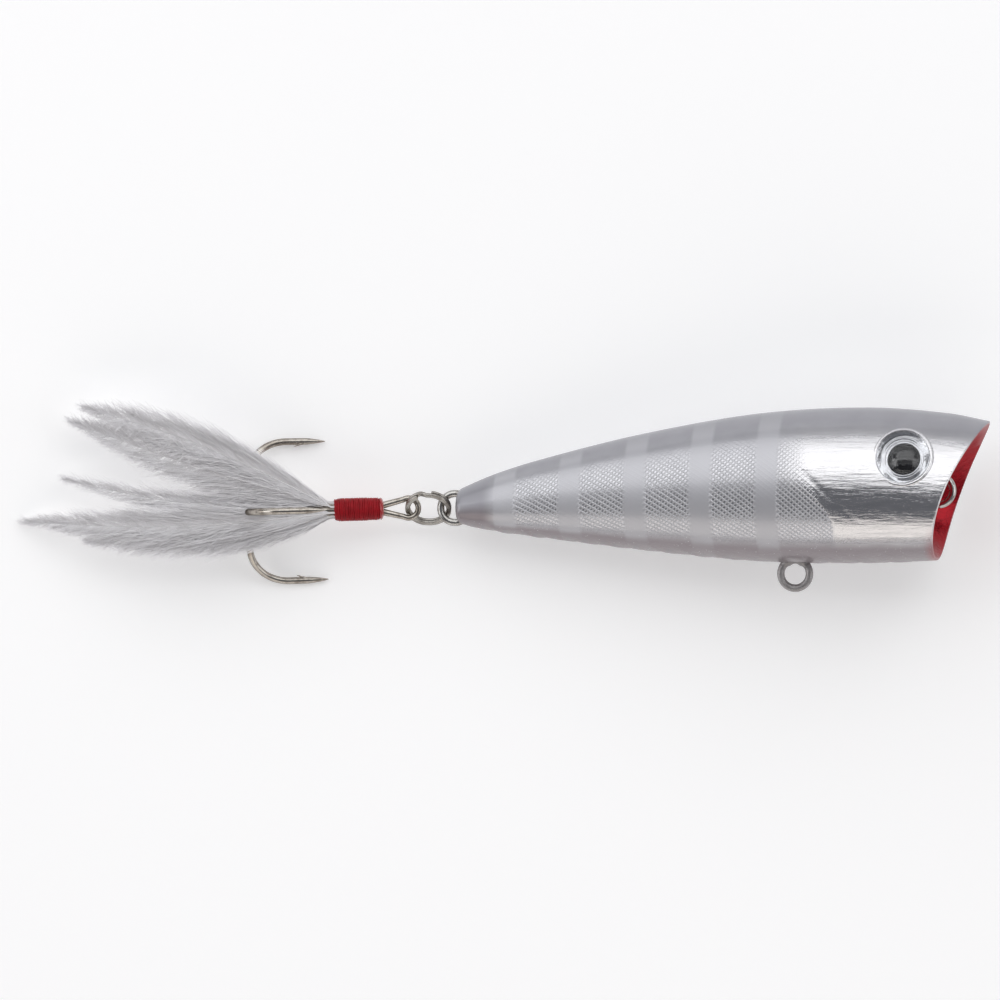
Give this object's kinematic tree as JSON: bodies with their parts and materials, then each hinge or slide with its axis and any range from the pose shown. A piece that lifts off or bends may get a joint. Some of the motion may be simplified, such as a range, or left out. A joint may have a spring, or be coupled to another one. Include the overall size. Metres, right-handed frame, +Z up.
{
  "type": "topwater popper lure",
  "caption": "Cup-mouthed surface fishing lure with a hollow body of two shells, wire eyes, rattle, and a feathered treble hook on a split ring.",
  "frame": {"origin": "centre of the whole lure's box, on the surface it lies on", "axes": "+X along the lure towards the nose, +Y towards its back, +Z up out of its right side, which faces up as it lies"},
  "size_m": [0.127, 0.024, 0.0187],
  "materials": {
    "painted_shell": "silver foil finish under clear gloss, red mouth",
    "form_wire": "bright wire",
    "painted_wire": "wire painted over in grey",
    "weight_metal": "turned",
    "eye_foil": "foil with fine rings",
    "eye_black": "black gloss dome",
    "eye_clear": "clear resin dome",
    "ball_steel": "polished steel ball",
    "ring_steel": "nickel-plated flattened wire",
    "hook_nickel": "nickel-plated, worn towards the points",
    "braze": "brazing metal",
    "red_thread": "fine waxed thread, wound turn by turn",
    "red_lacquer": "clear lacquer over red thread",
    "feather": "white hackle, soft barbs"
  },
  "bodies": {
    "lure_body": {"shell_right": "painted_shell", "shell_left": "painted_shell", "line_tie": "form_wire", "belly_eyelet": "painted_wire", "tail_eyelet": "form_wire", "tail_weight": "weight_metal", "eye_right_disc": "eye_foil", "eye_right_pupil": "eye_black", "eye_right_lens": "eye_clear", "eye_left_disc": "eye_foil", "eye_left_pupil": "eye_black", "eye_left_lens": "eye_clear"},
    "rattle_balls": {"rattle_ball_1": "ball_steel", "rattle_ball_2": "ball_steel", "rattle_ball_3": "ball_steel"},
    "split_ring": {"split_ring": "ring_steel"},
    "treble": {"hook_double": "hook_nickel", "hook_single": "hook_nickel", "braze_core": "braze", "thread_wrap": "red_thread", "head_cement": "red_lacquer", "feather_1": "feather", "feather_2": "feather", "feather_3": "feather", "feather_4": "feather", "feather_5": "feather", "feather_6": "feather"}
  },
  "joints": [
    {"name": "tail_swing", "type": "hinge", "parent": "lure_body", "child": "split_ring", "pos_m": [-0.00643, -0.00125, 0.00472], "axis": [-0.0872, 0, 0.9962], "range_deg": [-45, 45]},
    {"name": "treble_swing", "type": "hinge", "parent": "split_ring", "child": "treble", "pos_m": [-0.00992, -0.00125, 0.00465], "axis": [0, -0.7431, 0.6691], "range_deg": [-75, 75]},
    {"name": "rattle_roll", "type": "slide", "parent": "lure_body", "child": "rattle_balls", "axis": [0.9962, 0, 0.0872], "range_m": [0, 0.005]}
  ]
}
